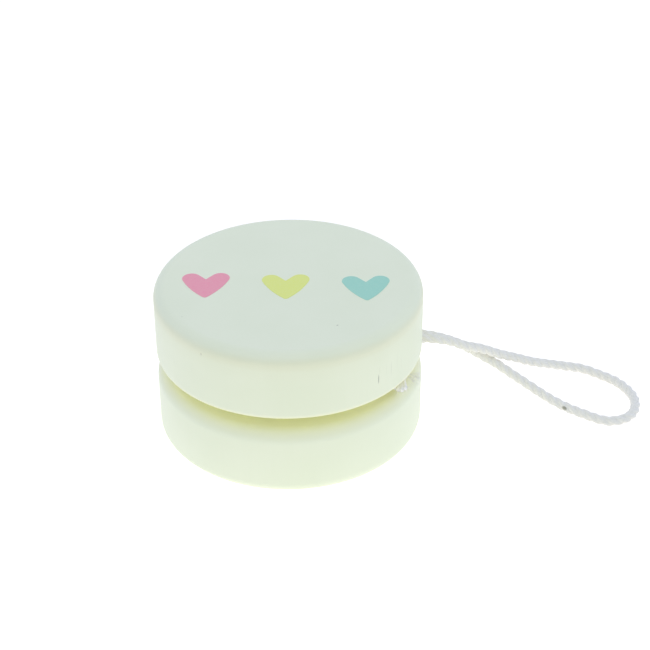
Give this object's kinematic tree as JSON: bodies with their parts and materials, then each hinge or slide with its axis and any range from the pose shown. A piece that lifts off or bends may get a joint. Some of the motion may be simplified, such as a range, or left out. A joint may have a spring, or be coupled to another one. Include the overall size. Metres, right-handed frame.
{
  "type": "yo-yo",
  "caption": "Wooden yo-yo with painted round halves on a glued dowel, pastel hearts printed on its face, and a cotton string wound in the gap that ends in a finger loop.",
  "frame": {"origin": "middle of the lower half's outer face, on the surface that the yo-yo lies on", "axes": "+Z along the dowel, up through the printed face; +X towards the finger loop; -Y towards the hearts' points"},
  "size_m": [0.102, 0.055, 0.0331],
  "materials": {
    "painted_wood": "satin off-white paint on turned wood",
    "bare_wood": "bare beech dowel",
    "pink_print": "thin printed pink ink",
    "yellow_print": "thin printed yellow ink",
    "blue_print": "thin printed blue ink",
    "cotton_string": "undyed twisted cotton"
  },
  "bodies": {
    "yoyo": {"lower_half": "painted_wood", "upper_half": "painted_wood", "axle_dowel": "bare_wood", "pink_heart": "pink_print", "yellow_heart": "yellow_print", "blue_heart": "blue_print"},
    "string": {"axle_loop": "cotton_string", "slip_knot": "cotton_string", "string_winding": "cotton_string", "loop_knot": "cotton_string", "finger_loop": "cotton_string", "frayed_tail": "cotton_string"}
  },
  "joints": [
    {"name": "axle_spin", "type": "hinge", "parent": "yoyo", "child": "string", "pos_m": [0, 0, 0.0165], "axis": [0, 0, 1], "continuous": true}
  ]
}
